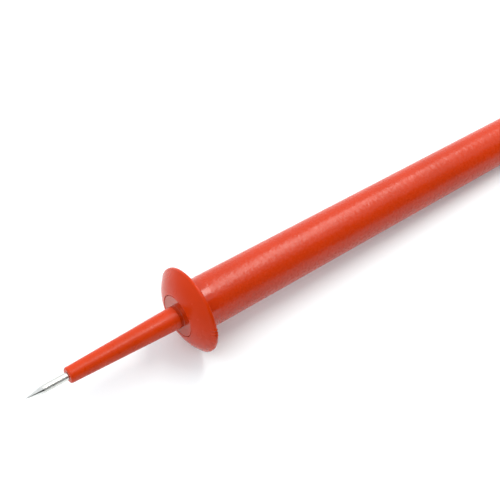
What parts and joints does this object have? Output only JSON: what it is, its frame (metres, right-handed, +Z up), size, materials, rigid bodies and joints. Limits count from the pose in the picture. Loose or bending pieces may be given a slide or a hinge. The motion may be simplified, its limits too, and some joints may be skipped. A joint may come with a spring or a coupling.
{
  "type": "test probe",
  "caption": "Slim hand-held test probe: a sprung steel needle in a tapered nose that screws out, a round finger guard and a long tapered handle with a plug socket in its end.",
  "frame": {"origin": "on the probe's axis, at the mouth of the rear socket, where the round wall of its bore begins", "axes": "+X along the axis, out of the rear socket, so that the needle points to -X; +Z up, +Y to the left"},
  "size_m": [0.1603, 0.0226, 0.0226],
  "materials": {
    "handle_plastic": "fine spark-eroded grain, orange-red",
    "guard_plastic": "smooth satin, orange-red",
    "nose_plastic": "smooth, semi-gloss, orange-red",
    "needle_steel": "polished stainless steel",
    "spring_steel": "drawn steel wire",
    "gilt_brass": "turned brass with a thin gold plating",
    "nickel_brass": "turned brass with nickel plating",
    "carrier_plastic": "natural white moulded plastic",
    "seal_rubber": "black rubber",
    "copper": "tinned ends, stranded copper",
    "lead_plastic": "red insulation",
    "solder": "dull bright solder",
    "sleeve_plastic": "black shrink sleeve"
  },
  "bodies": {
    "handle": {"barrel": "handle_plastic", "guard_disc": "guard_plastic", "contact_carrier": "carrier_plastic", "contact_tube": "gilt_brass", "tube_plug": "gilt_brass", "needle_spring": "spring_steel", "lead_core": "copper", "lead_insulation": "lead_plastic", "solder_joints": "solder", "shrink_sleeves": "sleeve_plastic", "socket_contact": "nickel_brass", "socket_insert": "handle_plastic", "socket_snap_ring": "spring_steel"},
    "needle_unit": {"needle": "needle_steel", "needle_collar": "gilt_brass"},
    "seal_unit": {"nose_seal_ring": "seal_rubber"},
    "nose_unit": {"nose": "nose_plastic"}
  },
  "joints": [
    {"name": "needle_travel", "type": "slide", "parent": "handle", "child": "needle_unit", "axis": [1, 0, 0], "range_m": [0, 0.004], "stiffness_N_per_m": 250, "springref_m": -0.002, "deforming": ["needle_spring"]},
    {"name": "nose_back_off", "type": "slide", "parent": "handle", "child": "seal_unit", "axis": [-1, 0, 0], "range_m": [0, 0.008]},
    {"name": "nose_turn", "type": "hinge", "parent": "seal_unit", "child": "nose_unit", "pos_m": [-0.113, 0, 0], "axis": [-1, 0, 0], "range_deg": [0, 1920]}
  ],
  "couplings": [
    {"joint": "nose_turn", "follows": "nose_back_off", "rad_per_m": 4188.8}
  ]
}
